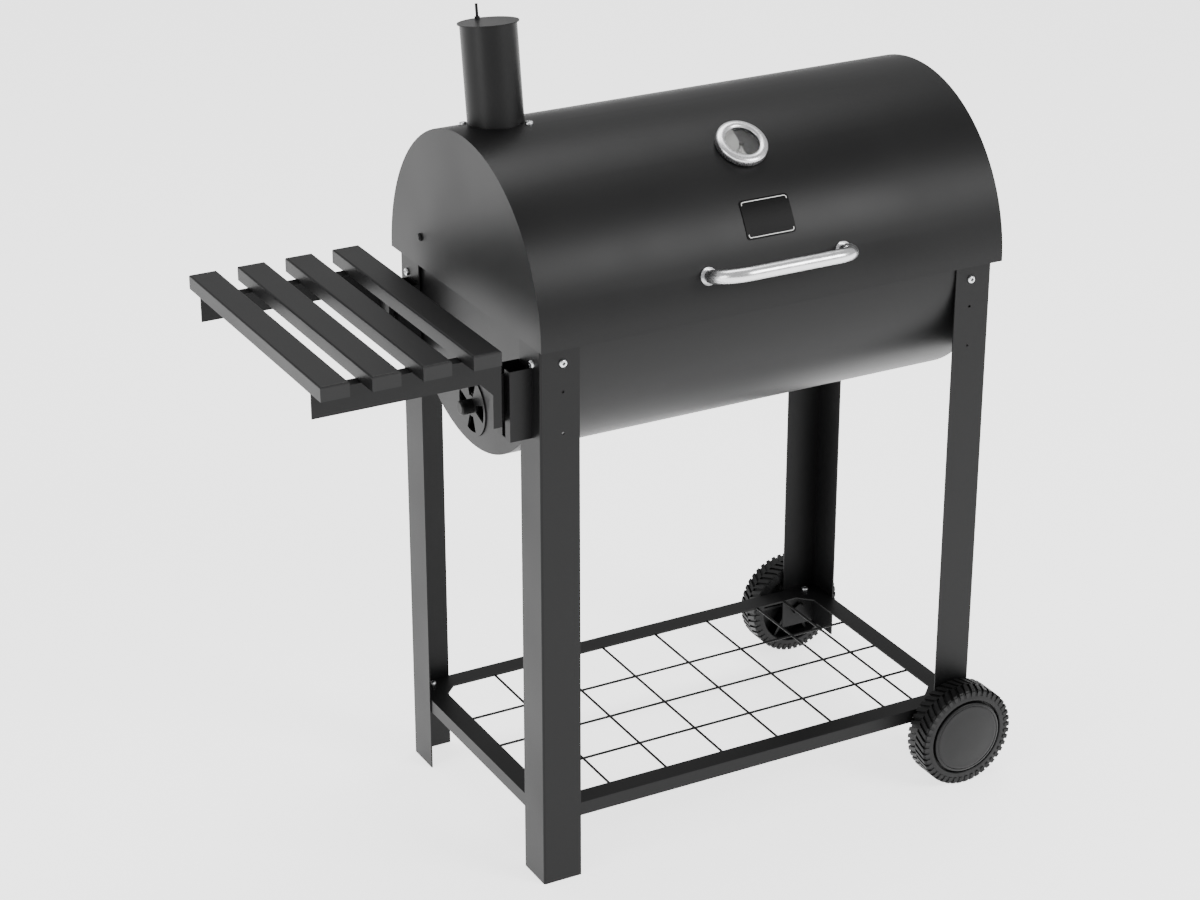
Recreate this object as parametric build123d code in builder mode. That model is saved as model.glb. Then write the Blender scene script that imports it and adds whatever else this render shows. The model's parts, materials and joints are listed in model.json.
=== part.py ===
from build123d import *
import os
from math import cos, degrees, radians, sin, sqrt

# Barrel charcoal grill on a wheeled cart. Millimetres, +Z up, -Y is the front.
# The origin is on the floor, under the middle of the whole object's box.

# Sheet and fasteners
SHEET = 2.0
THIN = 1.5
BOLT_R = 3.0
BOLT_HOLE_R = 3.2
BOLT_HEAD_R = 5.5
BOLT_HEAD_H = 3.5
NUT_R = 5.0
NUT_H = 4.0
RUNNING = 0.05

# Cart
LEG_SPAN_X = 698.0
LEG_SPAN_Y = 420.0
LEG_FLANGE = 57.5
LEG_TOP = 796.0
RIGHT_LEG_FOOT = 48.0
FLANGE_BOLT_X = 316.0
FLANGE_BOLT_Z = 773.0
SIDE_BOLT_Y = 189.0
SIDE_BOLT_Z = 771.0
SPARE_HOLE_Z = (733.0, 675.0)
SPARE_HOLE_R = 2.0

# Wheels
WHEEL_R = 76.0
WHEEL_X = 319.5
WHEEL_W = 42.0
WHEEL_GAP = 5.0
HUB_R = 14.0
CAP_R = 55.0
CAP_RISE = 5.0
AXLE_R = 6.0

# Barrel
LID_R = 226.0
LID_AXIS_Z = 798.0
LID_LENGTH = 710.0
BOWL_R = 207.5
BOWL_AXIS_Z = 790.0
BOWL_RIM_Z = 806.0
BOWL_LENGTH = 688.0
LIP = 12.0
HEM = 8.0
LID_HEM = 12.0

# Handle, thermometer and name plate, all on the front of the lid
FITTINGS_X = -4.0
HANDLE_ANGLE = 15.0
HANDLE_HALF = 103.0
HANDLE_STANDOFF = 48.0
HANDLE_R = 9.5
HANDLE_WALL = 1.2
HANDLE_BEND = 36.0
HANDLE_FOOT_R = 12.0
HANDLE_FOOT_H = 2.0
GAUGE_ANGLE = 57.5
GAUGE_R = 36.0
GAUGE_H = 13.0
GAUGE_WINDOW_R = 25.0
PLATE_WIDTH = 74.0
PLATE_ANGLES = (24.0, 37.5)
PLATE_T = 1.2

# Chimney
CHIMNEY_X = -287.0
CHIMNEY_ANGLE = 98.0
CHIMNEY_R = 38.0
CHIMNEY_TOP = 357.0
CHIMNEY_FOOT = 213.0
CHIMNEY_FLANGE_R = 54.0
CHIMNEY_BOLT = 32.5
DAMPER_R = 41.0
DAMPER_PIVOT = 32.0
DAMPER_SCREW_R = 2.0

# Lid hinges
HINGE_X = 220.0
HINGE_W = 50.0
PIN_Y = 236.5
PIN_Z = 799.0
PIN_R = 2.5
KNUCKLE_R = 5.5
KNUCKLE_W = 14.0
LEAF_T = 2.0

# Warming rack in the lid
RACK_PIVOT = (130.0, 841.5)
RACK_Y = (62.0, 188.0)
RACK_Z = 816.5
RACK_HALF_X = 338.0

# Side shelf
SLAT_TOP = 811.0
SLAT_H = 20.0
SLAT_W = 39.5
SLAT_LENGTH = 440.0
SLAT_PITCH = 69.6
SLAT_FIRST_X = -636.0
SLAT_T = 1.2
ARM_H = 36.0
ARM_Y = 186.0
ARM_END_X = -392.0
ARM_DROP_Z = 690.0
RECEIVER_Y = 168.5
RECEIVER_W = 37.0
RECEIVER_DEPTH = 32.0
RECEIVER_Z = (666.0, 764.0)
RECEIVER_BOLT_Z = (750.0, 690.0)
RECEIVER_SLOT = 9.0

# Bottom shelf
RAIL_TOP = 113.8
RAIL_W = 30.0
RAIL_H = 20.0
CORNER_CUT = 20.0
SHELF_BOLT_X = 324.0
SHELF_BOLT_Y = 196.0
WIRE_R = 1.8
CROSS_WIRE_X = (-228.0, -136.8, -45.6, 45.6, 136.8, 228.0, 276.8)
LONG_WIRE_Y = (-92.0, -4.0, 84.0)

# Grates
GRATE_Z = 782.0
GRATE_ROD_R = 3.0
GRATE_BAR_R = 2.0
GRATE_PITCH = 15.0
GRATE_HALF_Y = 193.0
GRATE_EDGE_X = 335.0
CHARCOAL_Z = 650.0
CHARCOAL_HALF_Y = 138.0
CHARCOAL_EDGE_X = 334.0
CHARCOAL_ROD_R = 4.0
CHARCOAL_BAR_R = 2.5
CHARCOAL_PITCH = 22.0

# Air vent in the left end of the bowl
VENT_Z = 640.0
VENT_SLOT_R = (15.0, 37.0)
VENT_DISC_R = 42.0
VENT_STEM_R = 3.0
VENT_GAP = 0.4
KNOB_R = 10.0
KNOB_H = 18.0

# Where the cart's centre lies in the frame
FRONT_REACH = (LID_R + HANDLE_STANDOFF) * cos(radians(HANDLE_ANGLE)) + HANDLE_R
REAR_REACH = LEG_SPAN_Y / 2 + WHEEL_GAP + WHEEL_W + CAP_RISE
LEFT_REACH = SLAT_W / 2 - SLAT_FIRST_X
XC = (LEFT_REACH - WHEEL_X - WHEEL_R) / 2
YC = (FRONT_REACH - REAR_REACH) / 2

BOWL_INNER_R = BOWL_R - THIN
LID_INNER_R = LID_R - THIN
WALL_H = BOWL_RIM_Z - BOWL_AXIS_Z

os.makedirs("parts", exist_ok=True)


def facing(x, y, z, direction):
    """A plane at a point of the cart, with its z along a direction."""
    return Plane(origin=(XC + x, YC + y, z), z_dir=direction)


def level(z):
    """A horizontal plane with its origin on the cart's middle."""
    return Plane(origin=(XC, YC, z))


def section(x):
    """A YZ plane at a place along the barrel: local x is the cart's y, local y is z."""
    return Plane(origin=(XC + x, YC, 0), x_dir=(0, 1, 0), z_dir=(1, 0, 0))


def side_view(y):
    """An XZ plane: local x is the cart's x, local y is z, and its normal is the front."""
    return Plane(origin=(XC, YC + y, 0), x_dir=(1, 0, 0), z_dir=(0, -1, 0))


def on_lid(x, angle, radius):
    """A plane that touches a circle about the lid's axis, with its z pointing out of the lid."""
    out = (0, -cos(radians(angle)), sin(radians(angle)))
    foot = (XC + x, YC + out[1] * radius, LID_AXIS_Z + out[2] * radius)
    return Plane(origin=foot, x_dir=(1, 0, 0), z_dir=out)


def seat_inside(radius, half_width):
    """The distance from the axis at which a flat nut bears on the inside of a round wall."""
    return sqrt(radius**2 - half_width**2) - RUNNING


def add_bolt(outer, inner, reach):
    """Adds a bolt and its nut: planes at the head's seat and the nut's seat, both facing out."""
    with BuildSketch(outer) as head:
        Circle(BOLT_HEAD_R)
    extrude(head.sketch, amount=BOLT_HEAD_H)
    with BuildSketch(outer) as shank:
        Circle(BOLT_R)
    extrude(shank.sketch, amount=-reach)
    with BuildSketch(inner) as nut:
        RegularPolygon(NUT_R, 6)
    extrude(nut.sketch, amount=-NUT_H)


# ---------------------------------------------------------------- legs


def make_leg(side_x, side_y, foot, name):
    """A leg of folded sheet: a front or rear flange and a side flange."""
    corner_x = XC + side_x * LEG_SPAN_X / 2
    corner_y = YC + side_y * LEG_SPAN_Y / 2
    inner_x = corner_x - side_x * SHEET
    inner_y = corner_y - side_y * SHEET
    end_x = corner_x - side_x * LEG_FLANGE
    end_y = corner_y - side_y * LEG_FLANGE
    with BuildPart() as leg:
        with BuildSketch(Plane.XY.offset(foot)) as fold:
            with BuildLine():
                Polyline(
                    (corner_x, corner_y),
                    (end_x, corner_y),
                    (end_x, inner_y),
                    (inner_x, inner_y),
                    (inner_x, end_y),
                    (corner_x, end_y),
                    close=True,
                )
            make_face()
            fillet(fold.vertices().sort_by_distance((corner_x, corner_y, foot))[0], 1.5 * SHEET)
        extrude(amount=LEG_TOP - foot)
        with BuildSketch(side_view(side_y * LEG_SPAN_Y / 2)):
            with Locations((side_x * FLANGE_BOLT_X, FLANGE_BOLT_Z)):
                Circle(BOLT_HOLE_R)
            for z in SPARE_HOLE_Z:
                with Locations((side_x * FLANGE_BOLT_X, z)):
                    Circle(SPARE_HOLE_R)
            if side_x > 0:
                with Locations((WHEEL_X, WHEEL_R)):
                    Circle(AXLE_R)
        extrude(amount=2 * SHEET, both=True, mode=Mode.SUBTRACT)
        with BuildSketch(section(side_x * LEG_SPAN_X / 2)):
            with Locations((side_y * SIDE_BOLT_Y, SIDE_BOLT_Z)):
                Circle(BOLT_HOLE_R)
            if side_x < 0:
                for z in RECEIVER_BOLT_Z:
                    with Locations((side_y * RECEIVER_Y, z)):
                        Circle(BOLT_R)
        extrude(amount=2 * SHEET, both=True, mode=Mode.SUBTRACT)
    leg.part.label = name
    export_step(leg.part, f"parts/{name}.step")


make_leg(-1, -1, 0, "leg_front_left")
make_leg(-1, 1, 0, "leg_rear_left")
make_leg(1, -1, RIGHT_LEG_FOOT, "leg_front_right")
make_leg(1, 1, RIGHT_LEG_FOOT, "leg_rear_right")

# ---------------------------------------------------------------- bottom shelf

RAIL_HALF_X = LEG_SPAN_X / 2 - SHEET
RAIL_HALF_Y = LEG_SPAN_Y / 2 - SHEET
RAIL_INNER_X = RAIL_HALF_X - RAIL_W
RAIL_INNER_Y = RAIL_HALF_Y - RAIL_W


def make_long_rail(side_y, name):
    """A front or rear rail, with both corner plates of the frame."""
    outer_y = side_y * RAIL_HALF_Y
    inner_y = side_y * RAIL_INNER_Y
    cut_y = side_y * (RAIL_INNER_Y - CORNER_CUT)
    with BuildPart() as rail:
        with BuildSketch(level(RAIL_TOP - SHEET)):
            with BuildLine():
                Polyline(
                    (-RAIL_HALF_X, outer_y),
                    (RAIL_HALF_X, outer_y),
                    (RAIL_HALF_X, cut_y),
                    (RAIL_INNER_X, cut_y),
                    (RAIL_INNER_X - CORNER_CUT, inner_y),
                    (CORNER_CUT - RAIL_INNER_X, inner_y),
                    (-RAIL_INNER_X, cut_y),
                    (-RAIL_HALF_X, cut_y),
                    close=True,
                )
            make_face()
            bolt_y = side_y * SHELF_BOLT_Y
            with Locations((-SHELF_BOLT_X, bolt_y), (SHELF_BOLT_X, bolt_y)):
                Circle(BOLT_R, mode=Mode.SUBTRACT)
        extrude(amount=SHEET)
        with BuildSketch(side_view(outer_y)):
            with Locations((0, RAIL_TOP - RAIL_H / 2)):
                Rectangle(2 * RAIL_HALF_X, RAIL_H)
        extrude(amount=side_y * SHEET)
    rail.part.label = name
    export_step(rail.part, f"parts/{name}.step")


def make_end_rail(side_x, name):
    """A left or right rail, between the corner plates."""
    length = 2 * (RAIL_INNER_Y - CORNER_CUT)
    with BuildPart() as rail:
        with BuildSketch(level(RAIL_TOP - SHEET)):
            with Locations((side_x * (RAIL_HALF_X - RAIL_W / 2), 0)):
                Rectangle(RAIL_W, length)
        extrude(amount=SHEET)
        with BuildSketch(section(side_x * (RAIL_HALF_X - SHEET))):
            with Locations((0, RAIL_TOP - RAIL_H / 2)):
                Rectangle(length, RAIL_H)
        extrude(amount=side_x * SHEET)
    rail.part.label = name
    export_step(rail.part, f"parts/{name}.step")


make_long_rail(-1, "shelf_rail_front")
make_long_rail(1, "shelf_rail_rear")
make_end_rail(-1, "shelf_rail_left")
make_end_rail(1, "shelf_rail_right")

CROSS_WIRE_Z = RAIL_TOP - SHEET - WIRE_R
LONG_WIRE_Z = CROSS_WIRE_Z - 1.8 * WIRE_R
CROSS_WIRE_END = RAIL_INNER_Y + 15
LONG_WIRE_END = RAIL_INNER_X + 12
with BuildPart() as shelf_wires:
    with BuildSketch(side_view(CROSS_WIRE_END)):
        with Locations(*[(x, CROSS_WIRE_Z) for x in CROSS_WIRE_X]):
            Circle(WIRE_R)
    extrude(amount=2 * CROSS_WIRE_END)
    with BuildSketch(section(-LONG_WIRE_END)):
        with Locations(*[(y, LONG_WIRE_Z) for y in LONG_WIRE_Y]):
            Circle(WIRE_R)
    extrude(amount=2 * LONG_WIRE_END)
shelf_wires.part.label = "shelf_wires"
export_step(shelf_wires.part, "parts/shelf_wires.step")

# Bolts in the corner plates, with their heads on top.
with BuildPart() as shelf_bolts:
    for side_x in (-1, 1):
        for side_y in (-1, 1):
            above = facing(side_x * SHELF_BOLT_X, side_y * SHELF_BOLT_Y, RAIL_TOP, (0, 0, 1))
            add_bolt(above, above.offset(-SHEET), SHEET + NUT_H + 2)
shelf_bolts.part.label = "shelf_bolts"
export_step(shelf_bolts.part, "parts/shelf_bolts.step")

# ---------------------------------------------------------------- bowl

with BuildPart() as bowl_shell:
    with BuildSketch(section(-BOWL_LENGTH / 2)):
        with Locations((0, BOWL_AXIS_Z)):
            Circle(BOWL_R)
            Circle(BOWL_INNER_R, mode=Mode.SUBTRACT)
        with Locations((0, BOWL_AXIS_Z + BOWL_R)):
            Rectangle(3 * BOWL_R, 2 * BOWL_R, mode=Mode.SUBTRACT)
        wall_y = BOWL_R - THIN / 2
        with Locations((-wall_y, BOWL_AXIS_Z + WALL_H / 2), (wall_y, BOWL_AXIS_Z + WALL_H / 2)):
            Rectangle(THIN, WALL_H)
    extrude(amount=BOWL_LENGTH)
    hem_length = BOWL_LENGTH - 2 * (THIN + LIP + 1)
    with BuildSketch(section(-hem_length / 2)):
        hem_y = BOWL_R - HEM / 2
        with Locations((-hem_y, BOWL_RIM_Z - THIN / 2), (hem_y, BOWL_RIM_Z - THIN / 2)):
            Rectangle(HEM, THIN)
    extrude(amount=hem_length)
    with BuildSketch(side_view(0)):
        with Locations((-FLANGE_BOLT_X, FLANGE_BOLT_Z), (FLANGE_BOLT_X, FLANGE_BOLT_Z)):
            Circle(BOLT_HOLE_R)
    extrude(amount=LEG_SPAN_Y, both=True, mode=Mode.SUBTRACT)
bowl_shell.part.label = "bowl_shell"
export_step(bowl_shell.part, "parts/bowl_shell.step")

# One wedge of the air vent, drawn about the vent's centre.
with BuildSketch(Plane.XY) as vent_wedge:
    Circle(VENT_SLOT_R[1])
    Circle(VENT_SLOT_R[0], mode=Mode.SUBTRACT)
    far = 2 * VENT_SLOT_R[1]
    Polygon(
        (0, 0),
        (far * cos(radians(20)), -far * sin(radians(20))),
        (far * cos(radians(20)), far * sin(radians(20))),
        align=None,
        mode=Mode.INTERSECT,
    )


def make_bowl_end(side_x, name):
    """A flat end of the bowl, with a lip that lies inside the shell."""
    outer_face = section(side_x * BOWL_LENGTH / 2)
    with BuildPart() as end:
        with BuildSketch(outer_face):
            with Locations((0, BOWL_AXIS_Z)):
                Circle(BOWL_INNER_R)
            with Locations((0, BOWL_AXIS_Z + BOWL_R)):
                Rectangle(3 * BOWL_R, 2 * BOWL_R, mode=Mode.SUBTRACT)
            with Locations((0, BOWL_AXIS_Z + WALL_H / 2)):
                Rectangle(2 * BOWL_INNER_R, WALL_H)
        extrude(amount=-side_x * THIN)
        with BuildSketch(outer_face):
            with Locations((0, BOWL_AXIS_Z)):
                Circle(BOWL_INNER_R)
                Circle(BOWL_INNER_R - THIN, mode=Mode.SUBTRACT)
            with Locations((0, BOWL_AXIS_Z + BOWL_R)):
                Rectangle(3 * BOWL_R, 2 * BOWL_R, mode=Mode.SUBTRACT)
        extrude(amount=-side_x * (THIN + LIP))
        with BuildSketch(outer_face):
            with Locations((-SIDE_BOLT_Y, SIDE_BOLT_Z), (SIDE_BOLT_Y, SIDE_BOLT_Z)):
                Circle(BOLT_HOLE_R)
            if side_x < 0:
                with Locations((0, VENT_Z)):
                    Circle(VENT_STEM_R + RUNNING)
                    with PolarLocations(0, 4):
                        add(vent_wedge.sketch)
        extrude(amount=2 * THIN, both=True, mode=Mode.SUBTRACT)
    end.part.label = name
    export_step(end.part, f"parts/{name}.step")


make_bowl_end(-1, "bowl_end_left")
make_bowl_end(1, "bowl_end_right")

# The vent's disc and knob turn together.
vent_face = facing(-BOWL_LENGTH / 2 - VENT_GAP, 0, VENT_Z, (-1, 0, 0))
with BuildPart() as vent_disc:
    with BuildSketch(vent_face):
        Circle(VENT_DISC_R)
        Circle(VENT_STEM_R, mode=Mode.SUBTRACT)
        with PolarLocations(0, 4):
            add(vent_wedge.sketch, mode=Mode.SUBTRACT)
    extrude(amount=THIN)
vent_disc.part.label = "vent_disc"
export_step(vent_disc.part, "parts/vent_disc.step")

with BuildPart() as vent_knob:
    with BuildSketch(vent_face.offset(THIN)):
        Circle(KNOB_R)
    extrude(amount=KNOB_H)
    fillet(vent_knob.faces().sort_by(Axis.X)[0].edges(), 3)
    with BuildSketch(vent_face.offset(THIN)):
        Circle(VENT_STEM_R)
    extrude(amount=-(2 * THIN + 2 * VENT_GAP + 3))
    with BuildSketch(vent_face.offset(-THIN - 2 * VENT_GAP)):
        Circle(2 * VENT_STEM_R)
    extrude(amount=-3)
vent_knob.part.label = "vent_knob"
export_step(vent_knob.part, "parts/vent_knob.step")

# Bolts that hold the bowl in the legs, with their nuts inside the bowl.
NUT_SEAT_Y = sqrt(BOWL_INNER_R**2 - (BOWL_AXIS_Z - FLANGE_BOLT_Z + NUT_R) ** 2) - RUNNING
NUT_SEAT_X = BOWL_LENGTH / 2 - THIN


with BuildPart() as leg_bolts:
    for side_x in (-1, 1):
        for side_y in (-1, 1):
            across = (side_x * FLANGE_BOLT_X, FLANGE_BOLT_Z)
            outer = facing(across[0], side_y * LEG_SPAN_Y / 2, across[1], (0, side_y, 0))
            inner = facing(across[0], side_y * NUT_SEAT_Y, across[1], (0, side_y, 0))
            add_bolt(outer, inner, LEG_SPAN_Y / 2 - NUT_SEAT_Y + NUT_H + 2)
            across = (side_y * SIDE_BOLT_Y, SIDE_BOLT_Z)
            outer = facing(side_x * LEG_SPAN_X / 2, across[0], across[1], (side_x, 0, 0))
            inner = facing(side_x * NUT_SEAT_X, across[0], across[1], (side_x, 0, 0))
            add_bolt(outer, inner, LEG_SPAN_X / 2 - NUT_SEAT_X + NUT_H + 2)
leg_bolts.part.label = "leg_bolts"
export_step(leg_bolts.part, "parts/leg_bolts.step")

SPACER_T = LEG_SPAN_X / 2 - SHEET - BOWL_LENGTH / 2
with BuildPart() as bowl_spacers:
    for side_x in (-1, 1):
        with BuildSketch(section(side_x * BOWL_LENGTH / 2)):
            with Locations((-SIDE_BOLT_Y, SIDE_BOLT_Z), (SIDE_BOLT_Y, SIDE_BOLT_Z)):
                Circle(2.5 * BOLT_R)
                Circle(BOLT_HOLE_R, mode=Mode.SUBTRACT)
        extrude(amount=side_x * SPACER_T)
bowl_spacers.part.label = "bowl_spacers"
export_step(bowl_spacers.part, "parts/bowl_spacers.step")

# ---------------------------------------------------------------- grates


def make_grate(x_low, x_high, name):
    """A wire cooking grate: a rod frame with bars from front to rear."""
    count = int((x_high - x_low) / GRATE_PITCH)
    pitch = (x_high - x_low) / count
    with BuildPart() as grate:
        with BuildSketch(section(x_low)):
            with Locations((-GRATE_HALF_Y, GRATE_Z), (GRATE_HALF_Y, GRATE_Z)):
                Circle(GRATE_ROD_R)
        extrude(amount=x_high - x_low)
        with BuildSketch(side_view(GRATE_HALF_Y)):
            with Locations(*[(x_low + i * pitch, GRATE_Z) for i in range(1, count)]):
                Circle(GRATE_BAR_R)
            with Locations((x_low, GRATE_Z), (x_high, GRATE_Z)):
                Circle(GRATE_ROD_R)
        extrude(amount=2 * GRATE_HALF_Y)
    grate.part.label = name
    export_step(grate.part, f"parts/{name}.step")


make_grate(-GRATE_EDGE_X, -5, "cooking_grate_left")
make_grate(5, GRATE_EDGE_X, "cooking_grate_right")

charcoal_count = int(2 * CHARCOAL_EDGE_X / CHARCOAL_PITCH)
charcoal_x = [CHARCOAL_EDGE_X * (2 * i / charcoal_count - 1) for i in range(charcoal_count + 1)]
with BuildPart() as charcoal_grate:
    with BuildSketch(section(-CHARCOAL_EDGE_X)):
        with Locations(*[(y, CHARCOAL_Z) for y in (-CHARCOAL_HALF_Y, 0, CHARCOAL_HALF_Y)]):
            Circle(CHARCOAL_ROD_R)
    extrude(amount=2 * CHARCOAL_EDGE_X)
    with BuildSketch(side_view(CHARCOAL_HALF_Y)):
        with Locations(*[(x, CHARCOAL_Z) for x in charcoal_x]):
            Circle(CHARCOAL_BAR_R)
    extrude(amount=2 * CHARCOAL_HALF_Y)
charcoal_grate.part.label = "charcoal_grate"
export_step(charcoal_grate.part, "parts/charcoal_grate.step")

# Angle ledges on the bowl's ends: (z of the grate's underside, (y of the ledge's middle, length)).
LEDGE_W = 12.0
GRATE_LEDGE = (GRATE_Z - GRATE_ROD_R, ((0, 300),))
CHARCOAL_LEDGE = (CHARCOAL_Z - CHARCOAL_ROD_R, ((-95, 50), (95, 50)))
with BuildPart() as grate_ledges:
    for under, runs in (GRATE_LEDGE, CHARCOAL_LEDGE):
        for middle, length in runs:
            for side_x in (-1, 1):
                wall_x = side_x * (BOWL_LENGTH / 2 - THIN)
                with BuildSketch(level(under - THIN)):
                    with Locations((wall_x - side_x * LEDGE_W / 2, middle)):
                        Rectangle(LEDGE_W, length)
                extrude(amount=THIN)
                with BuildSketch(level(under - LEDGE_W)):
                    with Locations((wall_x - side_x * THIN / 2, middle)):
                        Rectangle(THIN, length)
                extrude(amount=LEDGE_W)
grate_ledges.part.label = "grate_ledges"
export_step(grate_ledges.part, "parts/grate_ledges.step")

CENTRE_BAR_T = 4.0
with BuildPart() as grate_centre_bar:
    with BuildSketch(level(GRATE_Z - GRATE_ROD_R - CENTRE_BAR_T)):
        Rectangle(24, 2 * (BOWL_INNER_R - 1.5))
    extrude(amount=CENTRE_BAR_T)
grate_centre_bar.part.label = "grate_centre_bar"
export_step(grate_centre_bar.part, "parts/grate_centre_bar.step")

# ---------------------------------------------------------------- lid

FLANGE_BOLT_STEP = degrees(CHIMNEY_BOLT / LID_R)
CHIMNEY_BOLTS = (
    (CHIMNEY_X + CHIMNEY_BOLT, CHIMNEY_ANGLE - FLANGE_BOLT_STEP),
    (CHIMNEY_X - CHIMNEY_BOLT, CHIMNEY_ANGLE + FLANGE_BOLT_STEP),
)
STEM_R = 5.0
with BuildPart() as lid_shell:
    with BuildSketch(section(-LID_LENGTH / 2)):
        with Locations((0, LID_AXIS_Z)):
            Circle(LID_R)
            Circle(LID_INNER_R, mode=Mode.SUBTRACT)
        with Locations((0, LID_AXIS_Z - LID_R)):
            Rectangle(3 * LID_R, 2 * LID_R, mode=Mode.SUBTRACT)
    extrude(amount=LID_LENGTH)
    lid_hem_length = LID_LENGTH - 2 * THIN
    with BuildSketch(section(-lid_hem_length / 2)):
        hem_y = LID_R - 0.5 - LID_HEM / 2
        with Locations((-hem_y, LID_AXIS_Z + THIN / 2), (hem_y, LID_AXIS_Z + THIN / 2)):
            Rectangle(LID_HEM - 1, THIN)
    extrude(amount=lid_hem_length)
    for x in (FITTINGS_X - HANDLE_HALF, FITTINGS_X + HANDLE_HALF):
        with BuildSketch(on_lid(x, HANDLE_ANGLE, LID_R)):
            Circle(BOLT_R)
        extrude(amount=3 * THIN, both=True, mode=Mode.SUBTRACT)
    with BuildSketch(on_lid(FITTINGS_X, GAUGE_ANGLE, LID_R)):
        Circle(STEM_R)
    extrude(amount=3 * THIN, both=True, mode=Mode.SUBTRACT)
    with BuildSketch(on_lid(CHIMNEY_X, CHIMNEY_ANGLE, LID_R)):
        Circle(CHIMNEY_R)
    extrude(amount=10 * THIN, both=True, mode=Mode.SUBTRACT)
    for x, angle in CHIMNEY_BOLTS:
        with BuildSketch(on_lid(x, angle, LID_R)):
            Circle(BOLT_R)
        extrude(amount=3 * THIN, both=True, mode=Mode.SUBTRACT)
lid_shell.part.label = "lid_shell"
export_step(lid_shell.part, "parts/lid_shell.step")


def make_lid_end(side_x, name):
    """A flat half-round end of the lid, with a lip inside the shell."""
    outer_face = section(side_x * LID_LENGTH / 2)
    with BuildPart() as end:
        with BuildSketch(outer_face):
            with Locations((0, LID_AXIS_Z)):
                Circle(LID_INNER_R)
            with Locations((0, LID_AXIS_Z - LID_R)):
                Rectangle(3 * LID_R, 2 * LID_R, mode=Mode.SUBTRACT)
            with Locations(RACK_PIVOT):
                Circle(BOLT_R, mode=Mode.SUBTRACT)
        extrude(amount=-side_x * THIN)
        with BuildSketch(outer_face):
            with Locations((0, LID_AXIS_Z)):
                Circle(LID_INNER_R)
                Circle(LID_INNER_R - THIN, mode=Mode.SUBTRACT)
            with Locations((0, LID_AXIS_Z - LID_R + 2 * THIN)):
                Rectangle(3 * LID_R, 2 * LID_R, mode=Mode.SUBTRACT)
        extrude(amount=-side_x * (THIN + LIP))
    end.part.label = name
    export_step(end.part, f"parts/{name}.step")


make_lid_end(-1, "lid_end_left")
make_lid_end(1, "lid_end_right")

# ---------------------------------------------------------------- handle

handle_plane = Plane(
    origin=(XC + FITTINGS_X, YC, LID_AXIS_Z),
    x_dir=(1, 0, 0),
    z_dir=(0, -sin(radians(HANDLE_ANGLE)), -cos(radians(HANDLE_ANGLE))),
)
HANDLE_START = LID_R + HANDLE_FOOT_H
HANDLE_BAR = LID_R + HANDLE_STANDOFF
with BuildPart() as handle_tube:
    with BuildLine(handle_plane):
        FilletPolyline(
            (-HANDLE_HALF, HANDLE_START),
            (-HANDLE_HALF, HANDLE_BAR),
            (HANDLE_HALF, HANDLE_BAR),
            (HANDLE_HALF, HANDLE_START),
            radius=HANDLE_BEND,
        )
    with BuildSketch(on_lid(FITTINGS_X - HANDLE_HALF, HANDLE_ANGLE, HANDLE_START)):
        Circle(HANDLE_R)
        Circle(HANDLE_R - HANDLE_WALL, mode=Mode.SUBTRACT)
    sweep()
handle_tube.part.label = "handle_tube"
export_step(handle_tube.part, "parts/handle_tube.step")

PLUG_H = 9.0
with BuildPart() as handle_feet:
    for x in (FITTINGS_X - HANDLE_HALF, FITTINGS_X + HANDLE_HALF):
        with BuildSketch(on_lid(x, HANDLE_ANGLE, LID_R)):
            Circle(HANDLE_FOOT_R)
            Circle(BOLT_R, mode=Mode.SUBTRACT)
        extrude(amount=HANDLE_FOOT_H)
        with BuildSketch(on_lid(x, HANDLE_ANGLE, HANDLE_START)):
            Circle(HANDLE_R - HANDLE_WALL)
            Circle(BOLT_R, mode=Mode.SUBTRACT)
        extrude(amount=PLUG_H)
handle_feet.part.label = "handle_feet"
export_step(handle_feet.part, "parts/handle_feet.step")

with BuildPart() as handle_screws:
    for x in (FITTINGS_X - HANDLE_HALF, FITTINGS_X + HANDLE_HALF):
        seat = on_lid(x, HANDLE_ANGLE, seat_inside(LID_INNER_R, BOLT_HEAD_R))
        with BuildSketch(seat):
            Circle(BOLT_HEAD_R)
        extrude(amount=-BOLT_HEAD_H)
        with BuildSketch(seat):
            Circle(BOLT_R)
        extrude(amount=PLUG_H)
handle_screws.part.label = "handle_screws"
export_step(handle_screws.part, "parts/handle_screws.step")

# ---------------------------------------------------------------- thermometer

# Heights above the lid's surface: the floor, the dial, the needle and the window.
GAUGE_FLOOR = 2.0
DIAL_T = 1.0
NEEDLE_Z = 4.5
NEEDLE_T = 1.0
WINDOW_Z = 8.5
WINDOW_T = 2.0
CAVITY_R = GAUGE_WINDOW_R + 2
STEM_LENGTH = 70.0
STEM_BORE_R = 2.0
SHAFT_R = 1.0
NEEDLE_ZERO = 225.0


def gauge(height):
    """A plane of the thermometer at a height above the lid."""
    return on_lid(FITTINGS_X, GAUGE_ANGLE, LID_R + height)


with BuildPart() as thermometer_case:
    with BuildSketch(gauge(0)):
        Circle(GAUGE_R - 2)
        Circle(STEM_R, mode=Mode.SUBTRACT)
    extrude(amount=GAUGE_FLOOR)
    with BuildSketch(gauge(GAUGE_FLOOR)):
        Circle(GAUGE_R)
        Circle(CAVITY_R, mode=Mode.SUBTRACT)
    extrude(amount=WINDOW_Z + WINDOW_T - GAUGE_FLOOR)
    with BuildSketch(gauge(WINDOW_Z + WINDOW_T)):
        Circle(GAUGE_R)
        Circle(GAUGE_WINDOW_R, mode=Mode.SUBTRACT)
    extrude(amount=GAUGE_H - WINDOW_Z - WINDOW_T, taper=20)
thermometer_case.part.label = "thermometer_case"
export_step(thermometer_case.part, "parts/thermometer_case.step")

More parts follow.
